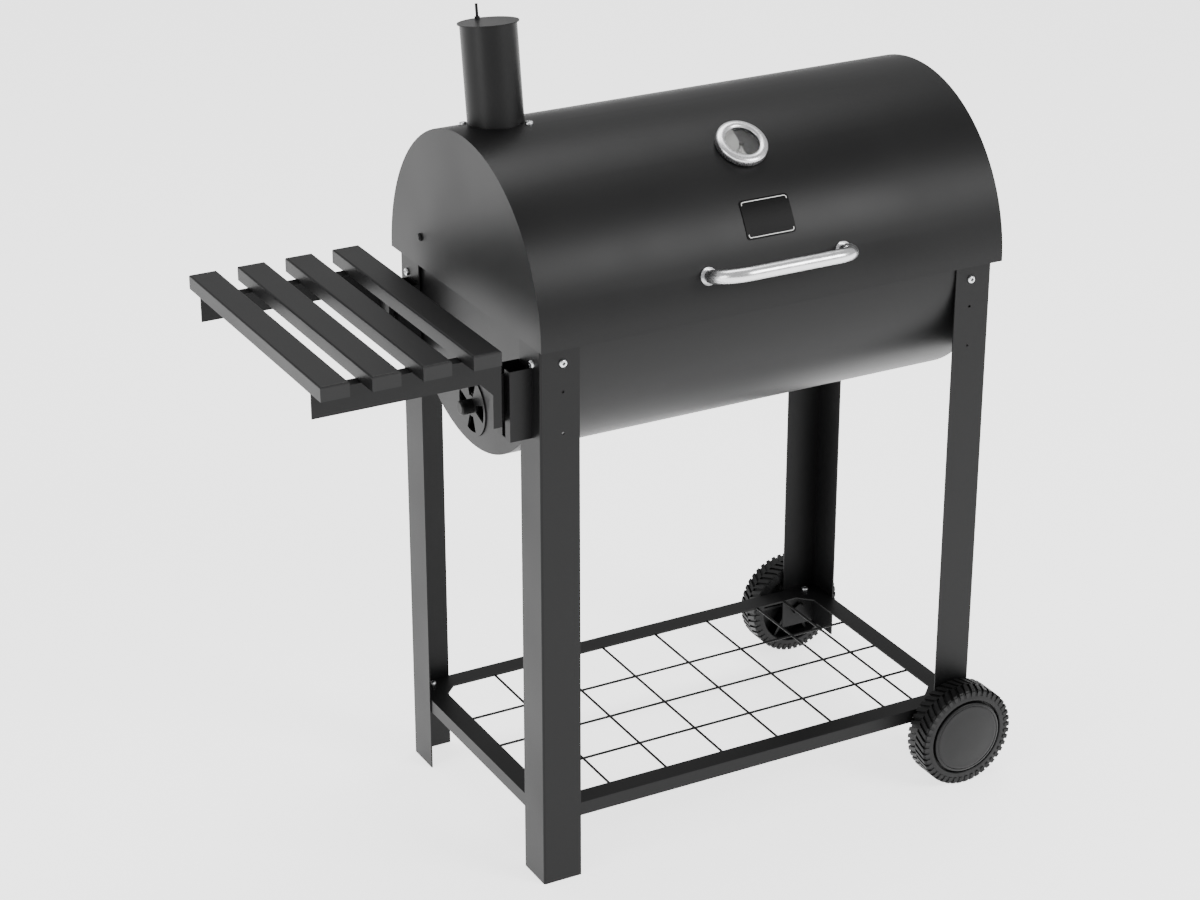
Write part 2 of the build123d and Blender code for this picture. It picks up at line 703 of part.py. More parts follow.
with BuildPart() as thermometer_dial:
    with BuildSketch(gauge(GAUGE_FLOOR)):
        Circle(CAVITY_R)
        Circle(STEM_BORE_R, mode=Mode.SUBTRACT)
    extrude(amount=DIAL_T)
thermometer_dial.part.label = "thermometer_dial"
export_step(thermometer_dial.part, "parts/thermometer_dial.step")

with BuildPart() as thermometer_window:
    with BuildSketch(gauge(WINDOW_Z)):
        Circle(CAVITY_R)
    extrude(amount=WINDOW_T)
thermometer_window.part.label = "thermometer_window"
export_step(thermometer_window.part, "parts/thermometer_window.step")

with BuildPart() as thermometer_stem:
    with BuildSketch(gauge(GAUGE_FLOOR)):
        Circle(STEM_R)
        Circle(STEM_BORE_R, mode=Mode.SUBTRACT)
    extrude(amount=-20)
    with BuildSketch(gauge(GAUGE_FLOOR - 20)):
        Circle(0.6 * STEM_R)
    extrude(amount=-STEM_LENGTH)
thermometer_stem.part.label = "thermometer_stem"
export_step(thermometer_stem.part, "parts/thermometer_stem.step")

with BuildPart() as thermometer_nut:
    with BuildSketch(on_lid(FITTINGS_X, GAUGE_ANGLE, seat_inside(LID_INNER_R, 2 * STEM_R))):
        RegularPolygon(2 * STEM_R, 6)
        Circle(STEM_R, mode=Mode.SUBTRACT)
    extrude(amount=-5)
thermometer_nut.part.label = "thermometer_nut"
export_step(thermometer_nut.part, "parts/thermometer_nut.step")

with BuildPart() as thermometer_needle:
    with BuildSketch(gauge(NEEDLE_Z)):
        Circle(3.5)
        with BuildLine():
            Polyline(
                (-2, 0),
                (0, 21),
                (2, 0),
                (0, -7),
                close=True,
            )
        make_face()
    extrude(amount=NEEDLE_T)
    with BuildSketch(gauge(NEEDLE_Z)):
        Circle(SHAFT_R)
    extrude(amount=-15)
thermometer_needle.part = thermometer_needle.part.rotate(
    Axis(gauge(0).origin, gauge(0).z_dir), 360 - NEEDLE_ZERO
)
thermometer_needle.part.label = "thermometer_needle"
export_step(thermometer_needle.part, "parts/thermometer_needle.step")

# ---------------------------------------------------------------- name plate

plate_middle = sum(PLATE_ANGLES) / 2
plate_height = LID_R * radians(PLATE_ANGLES[1] - PLATE_ANGLES[0])
with BuildPart() as name_plate:
    with BuildSketch(section(FITTINGS_X - PLATE_WIDTH)):
        with Locations((0, LID_AXIS_Z)):
            Circle(LID_R + PLATE_T)
            Circle(LID_R, mode=Mode.SUBTRACT)
    extrude(amount=2 * PLATE_WIDTH)
    with BuildSketch(on_lid(FITTINGS_X, plate_middle, LID_R - 20)):
        RectangleRounded(PLATE_WIDTH, plate_height, 5)
    extrude(amount=40, mode=Mode.INTERSECT)
name_plate.part.label = "name_plate"
export_step(name_plate.part, "parts/name_plate.step")

# ---------------------------------------------------------------- chimney

LUG_H = 10.0
LUG_R = 4.5
chimney_top = on_lid(CHIMNEY_X, CHIMNEY_ANGLE, CHIMNEY_TOP)
with BuildPart() as chimney_pipe:
    with BuildSketch(on_lid(CHIMNEY_X, CHIMNEY_ANGLE, CHIMNEY_FOOT)):
        Circle(CHIMNEY_R)
        Circle(CHIMNEY_R - THIN, mode=Mode.SUBTRACT)
    extrude(amount=CHIMNEY_TOP - CHIMNEY_FOOT)
    with BuildSketch(chimney_top):
        with Locations((0, DAMPER_PIVOT)):
            Rectangle(2 * LUG_R, 2 * LUG_R)
        Circle(CHIMNEY_R - THIN / 2, mode=Mode.INTERSECT)
        with Locations((0, DAMPER_PIVOT)):
            Circle(DAMPER_SCREW_R, mode=Mode.SUBTRACT)
    extrude(amount=-LUG_H)
chimney_pipe.part.label = "chimney_pipe"
export_step(chimney_pipe.part, "parts/chimney_pipe.step")

with BuildPart() as chimney_flange:
    with BuildSketch(section(CHIMNEY_X - CHIMNEY_FLANGE_R)):
        with Locations((0, LID_AXIS_Z)):
            Circle(LID_INNER_R)
            Circle(LID_INNER_R - SHEET, mode=Mode.SUBTRACT)
    extrude(amount=2 * CHIMNEY_FLANGE_R)
    with BuildSketch(on_lid(CHIMNEY_X, CHIMNEY_ANGLE, LID_R)):
        Circle(CHIMNEY_FLANGE_R)
        Circle(CHIMNEY_R, mode=Mode.SUBTRACT)
    extrude(amount=-60, mode=Mode.INTERSECT)
    for x, angle in CHIMNEY_BOLTS:
        with BuildSketch(on_lid(x, angle, LID_R)):
            Circle(BOLT_R)
        extrude(amount=-4 * SHEET, mode=Mode.SUBTRACT)
chimney_flange.part.label = "chimney_flange"
export_step(chimney_flange.part, "parts/chimney_flange.step")

with BuildPart() as chimney_bolts:
    for x, angle in CHIMNEY_BOLTS:
        nut_seat = seat_inside(LID_INNER_R - SHEET, NUT_R)
        add_bolt(on_lid(x, angle, LID_R), on_lid(x, angle, nut_seat), 10)
chimney_bolts.part.label = "chimney_bolts"
export_step(chimney_bolts.part, "parts/chimney_bolts.step")

DAMPER_GAP = 0.3
with BuildPart() as damper_disc:
    with BuildSketch(chimney_top.offset(DAMPER_GAP)):
        Circle(DAMPER_R)
        with Locations((0, DAMPER_PIVOT)):
            Circle(DAMPER_SCREW_R + RUNNING, mode=Mode.SUBTRACT)
    extrude(amount=THIN)
damper_disc.part.label = "damper_disc"
export_step(damper_disc.part, "parts/damper_disc.step")

with BuildPart() as damper_screw:
    with BuildSketch(chimney_top.offset(-LUG_H - 2)):
        with Locations((0, DAMPER_PIVOT)):
            Circle(DAMPER_SCREW_R)
    extrude(amount=LUG_H + 2 + 22)
    with BuildSketch(chimney_top.offset(2 * DAMPER_GAP + THIN)):
        with Locations((0, DAMPER_PIVOT)):
            RegularPolygon(4, 6)
    extrude(amount=3)
damper_screw.part.label = "damper_screw"
export_step(damper_screw.part, "parts/damper_screw.step")

# ---------------------------------------------------------------- hinges

MID_KNUCKLE_W = HINGE_W - 2 * KNUCKLE_W - 2 * VENT_GAP
LOWER_LEAF_Z = 780.0
LOWER_LEAF_ANGLE = 16.0
UPPER_LEAF_ANGLES = (2.2, 15.0)


def leaf_wedge(axis_z, low, high):
    """Keeps the part of a ring between two angles above the rear horizontal."""
    far = 3 * LID_R
    with Locations((0, axis_z)):
        Polygon(
            (0, 0),
            (far * cos(radians(low)), far * sin(radians(low))),
            (far * cos(radians(high)), far * sin(radians(high))),
            align=None,
            mode=Mode.INTERSECT,
        )


with BuildPart() as hinge_leaves_bowl:
    for middle in (-HINGE_X, HINGE_X):
        with BuildSketch(section(middle - HINGE_W / 2)):
            with Locations((0, BOWL_AXIS_Z)):
                Circle(BOWL_R + LEAF_T)
                Circle(BOWL_R, mode=Mode.SUBTRACT)
            leaf_wedge(BOWL_AXIS_Z, -LOWER_LEAF_ANGLE, -2.2)
            shelf_width = PIN_Y + LEAF_T - BOWL_R - 1
            with Locations((PIN_Y + LEAF_T - shelf_width / 2, LOWER_LEAF_Z + LEAF_T / 2)):
                Rectangle(shelf_width, LEAF_T)
            with Locations((PIN_Y, LOWER_LEAF_Z + 4)):
                Rectangle(2 * LEAF_T, 8)
        extrude(amount=HINGE_W)
        for start in (middle - HINGE_W / 2, middle + HINGE_W / 2 - KNUCKLE_W):
            with BuildSketch(section(start)):
                with Locations((PIN_Y, (LOWER_LEAF_Z + PIN_Z) / 2)):
                    Rectangle(2 * LEAF_T, PIN_Z - LOWER_LEAF_Z)
                with Locations((PIN_Y, PIN_Z)):
                    Circle(KNUCKLE_R)
                    Circle(PIN_R, mode=Mode.SUBTRACT)
            extrude(amount=KNUCKLE_W)
hinge_leaves_bowl.part.label = "hinge_leaves_bowl"
export_step(hinge_leaves_bowl.part, "parts/hinge_leaves_bowl.step")

with BuildPart() as hinge_leaves_lid:
    for middle in (-HINGE_X, HINGE_X):
        with BuildSketch(section(middle - HINGE_W / 2)):
            with Locations((0, LID_AXIS_Z)):
                Circle(LID_R + LEAF_T)
                Circle(LID_R, mode=Mode.SUBTRACT)
            leaf_wedge(LID_AXIS_Z, *UPPER_LEAF_ANGLES)
        extrude(amount=HINGE_W)
        with BuildSketch(section(middle - MID_KNUCKLE_W / 2)):
            with BuildLine():
                Polyline(
                    (LID_R + 0.3, PIN_Z + 5),
                    (LID_R + 0.3, PIN_Z + 12),
                    (LID_R + LEAF_T, PIN_Z + 12),
                    (PIN_Y, PIN_Z + KNUCKLE_R),
                    (PIN_Y - 4, PIN_Z),
                    close=True,
                )
            make_face()
            with Locations((PIN_Y, PIN_Z)):
                Circle(KNUCKLE_R)
                Circle(PIN_R + RUNNING, mode=Mode.SUBTRACT)
        extrude(amount=MID_KNUCKLE_W)
hinge_leaves_lid.part.label = "hinge_leaves_lid"
export_step(hinge_leaves_lid.part, "parts/hinge_leaves_lid.step")

with BuildPart() as hinge_pins:
    for middle in (-HINGE_X, HINGE_X):
        with BuildSketch(section(middle - HINGE_W / 2 - 2)):
            with Locations((PIN_Y, PIN_Z)):
                Circle(PIN_R)
        extrude(amount=HINGE_W + 4)
        for start, depth in ((middle - HINGE_W / 2, -2), (middle + HINGE_W / 2, 2)):
            with BuildSketch(section(start)):
                with Locations((PIN_Y, PIN_Z)):
                    Circle(PIN_R + 1.5)
            extrude(amount=depth)
hinge_pins.part.label = "hinge_pins"
export_step(hinge_pins.part, "parts/hinge_pins.step")

# ---------------------------------------------------------------- warming rack

RACK_BAR_R = 1.5
RACK_ROD_R = 2.5
RACK_BARS = 32
RACK_CHEEK_T = 2.0
rack_x = [RACK_HALF_X * (2 * i / RACK_BARS - 1) for i in range(1, RACK_BARS)]
with BuildPart() as warming_rack:
    with BuildSketch(section(-RACK_HALF_X)):
        with Locations(*[(y, RACK_Z) for y in RACK_Y]):
            Circle(RACK_ROD_R)
    extrude(amount=2 * RACK_HALF_X)
    with BuildSketch(side_view(RACK_Y[1])):
        with Locations(*[(x, RACK_Z) for x in rack_x]):
            Circle(RACK_BAR_R)
    extrude(amount=RACK_Y[1] - RACK_Y[0])
warming_rack.part.label = "warming_rack"
export_step(warming_rack.part, "parts/warming_rack.step")

with BuildPart() as rack_cheeks:
    for side_x in (-1, 1):
        with BuildSketch(section(side_x * RACK_HALF_X)):
            with BuildLine():
                Polyline(
                    (RACK_Y[0], RACK_Z - RACK_ROD_R),
                    (RACK_Y[1], RACK_Z - RACK_ROD_R),
                    (RACK_Y[1], RACK_Z + RACK_ROD_R),
                    (RACK_PIVOT[0] + 8, RACK_PIVOT[1] + 8),
                    (RACK_PIVOT[0] - 8, RACK_PIVOT[1] + 8),
                    (RACK_Y[0], RACK_Z + RACK_ROD_R),
                    close=True,
                )
            make_face()
            with Locations(RACK_PIVOT):
                Circle(BOLT_R + RUNNING, mode=Mode.SUBTRACT)
        extrude(amount=side_x * RACK_CHEEK_T)
rack_cheeks.part.label = "rack_cheeks"
export_step(rack_cheeks.part, "parts/rack_cheeks.step")

with BuildPart() as rack_bolts:
    for side_x in (-1, 1):
        outer = facing(side_x * LID_LENGTH / 2, *RACK_PIVOT, (side_x, 0, 0))
        lock = facing(side_x * (LID_LENGTH / 2 - THIN), *RACK_PIVOT, (side_x, 0, 0))
        add_bolt(outer, lock, LID_LENGTH / 2 - RACK_HALF_X + NUT_H + 1)
        with BuildSketch(facing(side_x * (RACK_HALF_X - 0.5), *RACK_PIVOT, (side_x, 0, 0))):
            RegularPolygon(NUT_R, 6)
        extrude(amount=-NUT_H)
rack_bolts.part.label = "rack_bolts"
export_step(rack_bolts.part, "parts/rack_bolts.step")

# ---------------------------------------------------------------- wheels

WEB_T = 4.0
RIM_R = 58.0
RIB_T = 4.0
RIB_H = 18.0
WHEEL_OUT = WHEEL_GAP + WHEEL_W
WEB_OUT = WHEEL_OUT - 7
HEAD_T = 4.0


def make_wheel(side_y, name):
    """A moulded wheel: tyre and rim, a web with ribs on the inner side, and a long hub."""
    flange_face = (XC + WHEEL_X, YC + side_y * LEG_SPAN_Y / 2, WHEEL_R)
    half = Plane(origin=flange_face, x_dir=(1, 0, 0), z_dir=(0, 0, side_y))
    spin = Axis(flange_face, (0, side_y, 0))
    web_plane = Plane(origin=flange_face, x_dir=(1, 0, 0), z_dir=(0, side_y, 0)).offset(WEB_OUT - WEB_T)
    with BuildPart() as wheel:
        with BuildSketch(half):
            with BuildLine():
                Polyline(
                    (AXLE_R + RUNNING, 1),
                    (HUB_R, 1),
                    (HUB_R, WEB_OUT - WEB_T),
                    (RIM_R, WEB_OUT - WEB_T),
                    (RIM_R, WHEEL_GAP),
                    (WHEEL_R - 6, WHEEL_GAP),
                    (WHEEL_R, WHEEL_GAP + 6),
                    (WHEEL_R, WHEEL_OUT - 6),
                    (WHEEL_R - 6, WHEEL_OUT),
                    (RIM_R, WHEEL_OUT),
                    (RIM_R, WEB_OUT),
                    (AXLE_R + RUNNING, WEB_OUT),
                    close=True,
                )
            make_face()
        revolve(axis=spin)
        with BuildSketch(web_plane):
            with PolarLocations((HUB_R + RIM_R) / 2, 6):
                Rectangle(RIM_R - HUB_R + 1, RIB_T)
        extrude(amount=-RIB_H)
    wheel.part.label = name
    export_step(wheel.part, f"parts/{name}.step")


def make_wheel_cap(side_y, name):
    """A thin crowned cap that closes the wheel's outer side."""
    flange_face = (XC + WHEEL_X, YC + side_y * LEG_SPAN_Y / 2, WHEEL_R)
    half = Plane(origin=flange_face, x_dir=(1, 0, 0), z_dir=(0, 0, side_y))
    crown = WHEEL_OUT + CAP_RISE
    with BuildPart() as cap:
        with BuildSketch(half):
            with BuildLine():
                Polyline(
                    (0, crown - THIN),
                    (0, crown),
                    (0.4 * CAP_R, crown - 0.16 * CAP_RISE),
                    (0.75 * CAP_R, crown - 0.56 * CAP_RISE),
                    (CAP_R, WHEEL_OUT),
                    (CAP_R, WEB_OUT),
                    (CAP_R - THIN, WEB_OUT),
                    (CAP_R - THIN, WHEEL_OUT - THIN),
                    (0.75 * CAP_R, crown - 0.56 * CAP_RISE - THIN),
                    (0.4 * CAP_R, crown - 0.16 * CAP_RISE - THIN),
                    close=True,
                )
            make_face()
        revolve(axis=Axis(flange_face, (0, side_y, 0)))
    cap.part.label = name
    export_step(cap.part, f"parts/{name}.step")


make_wheel(-1, "wheel_front")
make_wheel(1, "wheel_rear")
make_wheel_cap(-1, "wheel_cap_front")
make_wheel_cap(1, "wheel_cap_rear")

# Stub axles: a head under each cap, and a nut inside each leg.
with BuildPart() as axles:
    for side_y in (-1, 1):
        inner_face = facing(WHEEL_X, side_y * (LEG_SPAN_Y / 2 - SHEET), WHEEL_R, (0, side_y, 0))
        with BuildSketch(inner_face):
            RegularPolygon(1.7 * AXLE_R, 6)
        extrude(amount=-6)
        with BuildSketch(inner_face):
            Circle(AXLE_R)
        extrude(amount=SHEET + WEB_OUT + 0.5)
        with BuildSketch(inner_face.offset(SHEET + WEB_OUT + 0.5)):
            Circle(1.7 * AXLE_R)
        extrude(amount=HEAD_T)
axles.part.label = "axles"
export_step(axles.part, "parts/axles.step")

# ---------------------------------------------------------------- side shelf


def make_slat(index):
    """A shelf slat: a folded channel, open below, with closed ends."""
    name = f"shelf_slat_{index + 1}"
    middle = SLAT_FIRST_X + index * SLAT_PITCH
    with BuildPart() as slat:
        with BuildSketch(level(SLAT_TOP)):
            with Locations((middle, 0)):
                Rectangle(SLAT_W, SLAT_LENGTH)
        extrude(amount=-SLAT_H)
        fillet(slat.faces().sort_by(Axis.Z)[-1].edges(), 2.5)
        offset(amount=-SLAT_T, openings=slat.faces().sort_by(Axis.Z)[0])
    slat.part.label = name
    export_step(slat.part, f"parts/{name}.step")


for number in range(4):
    make_slat(number)

ARM_TOP = SLAT_TOP - SLAT_H
ARM_START_X = SLAT_FIRST_X - SLAT_W / 2 + 1.5
DROP_W = 12.0
RECEIVER_OUT_X = LEG_SPAN_X / 2 + RECEIVER_DEPTH
HOOK_TOP = RECEIVER_Z[1] - 8
HOOK_FOOT = RECEIVER_Z[0] + SHEET + 0.1


def make_arm(side_y, name):
    """A shelf arm: a web under the slats, a top flange, a drop leg, and a hook for the receiver."""
    outer = side_y * ARM_Y
    with BuildPart() as arm:
        with BuildSketch(side_view(outer)):
            with BuildLine():
                Polyline(
                    (ARM_START_X, ARM_TOP),
                    (ARM_END_X, ARM_TOP),
                    (ARM_END_X, ARM_DROP_Z),
                    (ARM_END_X - DROP_W, ARM_DROP_Z),
                    (ARM_END_X - DROP_W, ARM_TOP - ARM_H - 18),
                    (ARM_END_X - DROP_W - 18, ARM_TOP - ARM_H),
                    (ARM_START_X, ARM_TOP - ARM_H),
                    close=True,
                )
            make_face()
        extrude(amount=side_y * SHEET)
        with BuildSketch(level(ARM_TOP - SHEET)):
            with Locations(((ARM_START_X + ARM_END_X) / 2, outer - side_y * 9)):
                Rectangle(ARM_END_X - ARM_START_X, 18)
        extrude(amount=SHEET)
        hook_height = HOOK_TOP - ARM_DROP_Z
        with BuildSketch(section(ARM_END_X - SHEET)):
            with Locations((side_y * (ARM_Y + RECEIVER_Y - 14) / 2, ARM_DROP_Z + hook_height / 2)):
                Rectangle(ARM_Y - RECEIVER_Y + 14, hook_height)
        extrude(amount=SHEET)
        neck_end = -RECEIVER_OUT_X + 2 * SHEET + 1.5
        with BuildSketch(level(ARM_DROP_Z)):
            with Locations(((ARM_END_X - SHEET + neck_end) / 2, side_y * RECEIVER_Y)):
                Rectangle(neck_end - ARM_END_X + SHEET, 2 * SHEET)
        extrude(amount=hook_height)
        with BuildSketch(section(neck_end - SHEET)):
            with Locations((side_y * RECEIVER_Y, (HOOK_FOOT + HOOK_TOP) / 2)):
                Rectangle(28, HOOK_TOP - HOOK_FOOT)
        extrude(amount=SHEET)
    arm.part.label = name
    export_step(arm.part, f"parts/{name}.step")


make_arm(-1, "shelf_arm_front")
make_arm(1, "shelf_arm_rear")


def make_receiver(side_y, name):
    """A channel on a left leg, slotted down its outer face and closed below."""
    back_x = -LEG_SPAN_X / 2
    with BuildPart() as receiver:
        with BuildSketch(level(RECEIVER_Z[0])):
            with Locations((back_x - RECEIVER_DEPTH / 2, side_y * RECEIVER_Y)):
                Rectangle(RECEIVER_DEPTH, RECEIVER_W)
                Rectangle(RECEIVER_DEPTH - 2 * SHEET, RECEIVER_W - 2 * SHEET, mode=Mode.SUBTRACT)
            with Locations((back_x - RECEIVER_DEPTH, side_y * RECEIVER_Y)):
                Rectangle(4 * SHEET, RECEIVER_SLOT, mode=Mode.SUBTRACT)
        extrude(amount=RECEIVER_Z[1] - RECEIVER_Z[0])
        with BuildSketch(level(RECEIVER_Z[0])):
            with Locations((back_x - RECEIVER_DEPTH / 2, side_y * RECEIVER_Y)):
                Rectangle(RECEIVER_DEPTH, RECEIVER_W)
        extrude(amount=SHEET)
        with BuildSketch(section(back_x)):
            with Locations(*[(side_y * RECEIVER_Y, z) for z in RECEIVER_BOLT_Z]):
                Circle(BOLT_R)
        extrude(amount=2 * SHEET, both=True, mode=Mode.SUBTRACT)
    receiver.part.label = name
    export_step(receiver.part, f"parts/{name}.step")


make_receiver(-1, "shelf_receiver_front")
make_receiver(1, "shelf_receiver_rear")

with BuildPart() as receiver_rivets:
    for z in RECEIVER_BOLT_Z:
        for side_y in (-1, 1):
            seat = facing(-LEG_SPAN_X / 2 - SHEET, side_y * RECEIVER_Y, z, (-1, 0, 0))
            with BuildSketch(seat):
                Circle(BOLT_HEAD_R)
            extrude(amount=BOLT_HEAD_H)
            with BuildSketch(seat):
                Circle(BOLT_R)
            extrude(amount=-2 * SHEET)
            with BuildSketch(seat.offset(-2 * SHEET)):
                Circle(NUT_R)
            extrude(amount=-SHEET)
receiver_rivets.part.label = "receiver_rivets"
export_step(receiver_rivets.part, "parts/receiver_rivets.step")
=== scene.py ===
"""Looks of a barrel charcoal grill on a wheeled cart. Metres, +Z up, -Y is the front."""
import bmesh
import bpy
import json
from math import cos, pi, radians, sin, tau
from mathutils import Matrix, Vector


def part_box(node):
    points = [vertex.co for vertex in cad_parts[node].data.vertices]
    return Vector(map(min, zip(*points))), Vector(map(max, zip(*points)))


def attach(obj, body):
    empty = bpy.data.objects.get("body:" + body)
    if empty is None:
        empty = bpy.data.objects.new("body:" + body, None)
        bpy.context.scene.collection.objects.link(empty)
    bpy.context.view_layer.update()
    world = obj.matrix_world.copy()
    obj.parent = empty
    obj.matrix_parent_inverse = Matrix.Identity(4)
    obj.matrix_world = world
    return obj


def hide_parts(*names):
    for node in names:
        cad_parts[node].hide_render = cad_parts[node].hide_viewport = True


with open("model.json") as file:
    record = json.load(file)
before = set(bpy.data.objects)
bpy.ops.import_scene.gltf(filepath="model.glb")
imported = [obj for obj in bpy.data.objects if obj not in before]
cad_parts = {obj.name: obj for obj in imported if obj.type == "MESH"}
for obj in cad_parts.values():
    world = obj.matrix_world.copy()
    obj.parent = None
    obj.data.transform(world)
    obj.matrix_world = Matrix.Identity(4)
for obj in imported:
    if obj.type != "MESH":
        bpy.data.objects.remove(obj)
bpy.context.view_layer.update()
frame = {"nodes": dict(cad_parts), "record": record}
nodes = frame["nodes"]
joints = {j["name"]: j for j in frame["record"]["behaviour"]["joints"]}

MM = 0.001

# ---------------------------------------------------------------- materials


def link(mat, out, into):
    """Joins one node socket to another."""
    mat.node_tree.links.new(out, into)


def new_material(name, color, rough, metallic=0.0, specular=0.5):
    """A Principled material with constant values on the shader's own sockets."""
    mat = bpy.data.materials.new(name)
    mat.use_nodes = True
    shader = mat.node_tree.nodes["Principled BSDF"]
    shader.inputs["Base Color"].default_value = (*color, 1)
    shader.inputs["Roughness"].default_value = rough
    shader.inputs["Metallic"].default_value = metallic
    shader.inputs["Specular IOR Level"].default_value = specular
    return mat, shader


def noise(mat, scale, detail=3.0, stretch=(1, 1, 1)):
    """A noise texture in the object's own metres, stretched along its axes."""
    tree = mat.node_tree
    coords = tree.nodes.new("ShaderNodeTexCoord")
    mapping = tree.nodes.new("ShaderNodeMapping")
    mapping.inputs["Scale"].default_value = stretch
    texture = tree.nodes.new("ShaderNodeTexNoise")
    texture.inputs["Scale"].default_value = scale
    texture.inputs["Detail"].default_value = detail
    link(mat, coords.outputs["Object"], mapping.inputs["Vector"])
    link(mat, mapping.outputs["Vector"], texture.inputs["Vector"])
    return texture


def vary_color(mat, shader, texture, dark, light, low=0.35, high=0.65):
    """Moves the colour between two shades with a texture."""
    ramp = mat.node_tree.nodes.new("ShaderNodeValToRGB")
    ramp.color_ramp.elements[0].position = low
    ramp.color_ramp.elements[0].color = (*dark, 1)
    ramp.color_ramp.elements[1].position = high
    ramp.color_ramp.elements[1].color = (*light, 1)
    link(mat, texture.outputs["Fac"], ramp.inputs["Fac"])
    link(mat, ramp.outputs["Color"], shader.inputs["Base Color"])


def vary_rough(mat, shader, texture, low, high):
    """Moves the roughness between two values with a texture."""
    spread = mat.node_tree.nodes.new("ShaderNodeMapRange")
    spread.inputs["From Min"].default_value = 0.3
    spread.inputs["From Max"].default_value = 0.7
    spread.inputs["To Min"].default_value = low
    spread.inputs["To Max"].default_value = high
    link(mat, texture.outputs["Fac"], spread.inputs["Value"])
    link(mat, spread.outputs["Result"], shader.inputs["Roughness"])


def add_bump(mat, shader, texture, depth):
    """Raises the surface by a texture, to a depth in metres."""
    bump = mat.node_tree.nodes.new("ShaderNodeBump")
    bump.inputs["Strength"].default_value = 1.0
    bump.inputs["Distance"].default_value = depth
    link(mat, texture.outputs["Fac"], bump.inputs["Height"])
    link(mat, bump.outputs["Normal"], shader.inputs["Normal"])


def painted(name, dark, light, rough, grain=900.0, depth=0.00006, specular=0.22):
    """Sprayed or powder-coated metal: a fine grain, and a slow change of shade and gloss."""
    mat, shader = new_material(name, light, rough, specular=specular)
    slow = noise(mat, 5.0, 2.0)
    vary_color(mat, shader, slow, dark, light)
    vary_rough(mat, shader, slow, rough - 0.03, rough + 0.05)
    add_bump(mat, shader, noise(mat, grain, 2.0), depth)
    return mat


def brushed(name, color, rough, stretch):
    """Metal with a fine grain that runs across the stretched axis."""
    mat, shader = new_material(name, color, rough, metallic=1.0)
    grain = noise(mat, 500.0, 4.0, stretch)
    vary_rough(mat, shader, grain, rough - 0.06, rough + 0.10)
    add_bump(mat, shader, grain, 0.00003)
    return mat


def plated(name, color, rough):
    """Bright plated metal with a faint mottle."""
    mat, shader = new_material(name, color, rough, metallic=1.0)
    vary_rough(mat, shader, noise(mat, 300.0), rough - 0.05, rough + 0.12)
    return mat


def moulded(name, color, rough, depth=0.00005):
    """Moulded plastic with a fine spark-eroded grain."""
    mat, shader = new_material(name, color, rough, specular=0.22)
    add_bump(mat, shader, noise(mat, 1400.0, 2.0), depth)
    vary_rough(mat, shader, noise(mat, 40.0), rough - 0.05, rough + 0.06)
    return mat


CART = painted("cart_paint", (0.0030, 0.0030, 0.0032), (0.0044, 0.0044, 0.0046), 0.42, specular=0.18)
SLATS = painted("slat_paint", (0.0060, 0.0060, 0.0062), (0.0085, 0.0085, 0.0088), 0.42)
BARREL = painted(
    "barrel_paint", (0.0036, 0.0036, 0.0038), (0.0050, 0.0050, 0.0052), 0.40,
    grain=1200.0, depth=0.00004, specular=0.20,
)
INSIDE = painted("inside_paint", (0.010, 0.010, 0.010), (0.017, 0.016, 0.015), 0.60, 500.0)
STEEL = brushed("stainless", (0.66, 0.66, 0.67), 0.24, (0.15, 1, 1))
BEZEL = brushed("bezel_steel", (0.66, 0.66, 0.67), 0.27, (1, 1, 1))
ZINC = plated("zinc", (0.66, 0.67, 0.68), 0.30)
CHROME = plated("grate_chrome", (0.60, 0.60, 0.62), 0.20)
PLASTIC = moulded("wheel_plastic", (0.0050, 0.0050, 0.0052), 0.48)
CAP = moulded("cap_plastic", (0.0050, 0.0050, 0.0052), 0.38)
KNOB = moulded("knob_plastic", (0.003, 0.003, 0.003), 0.42)
PLATE = painted(
    "plate_black", (0.0008, 0.0008, 0.0009), (0.0012, 0.0012, 0.0013), 0.34, specular=0.06,
)
INK = new_material("ink_light", (0.72, 0.72, 0.70), 0.45)[0]
# Painted shade: a near-black for the cross recesses of screw heads, standing in for the recess's shadow.
RECESS_SHADE = new_material("recess_painted_shade", (0.02, 0.02, 0.02), 0.45)[0]
NEEDLE = moulded("needle_black", (0.010, 0.010, 0.010), 0.38)
DIAL_LIGHT = moulded("dial_light", (0.30, 0.30, 0.29), 0.45)
DIAL_DARK = moulded("dial_dark", (0.008, 0.008, 0.009), 0.45)
IRON, iron_shader = new_material("fire_iron", (0.05, 0.05, 0.05), 0.62, metallic=0.7)
rust = noise(IRON, 60.0, 5.0)
vary_color(IRON, iron_shader, rust, (0.035, 0.033, 0.032), (0.085, 0.060, 0.045), 0.45, 0.75)
add_bump(IRON, iron_shader, rust, 0.0002)
GLASS, glass_shader = new_material("dial_glass", (0.97, 0.98, 0.99), 0.04)
glass_shader.inputs["Transmission Weight"].default_value = 1.0
glass_shader.inputs["IOR"].default_value = 1.45
glass_shader.inputs["Alpha"].default_value = 0.12

# ---------------------------------------------------------------- CAD nodes that keep their shape

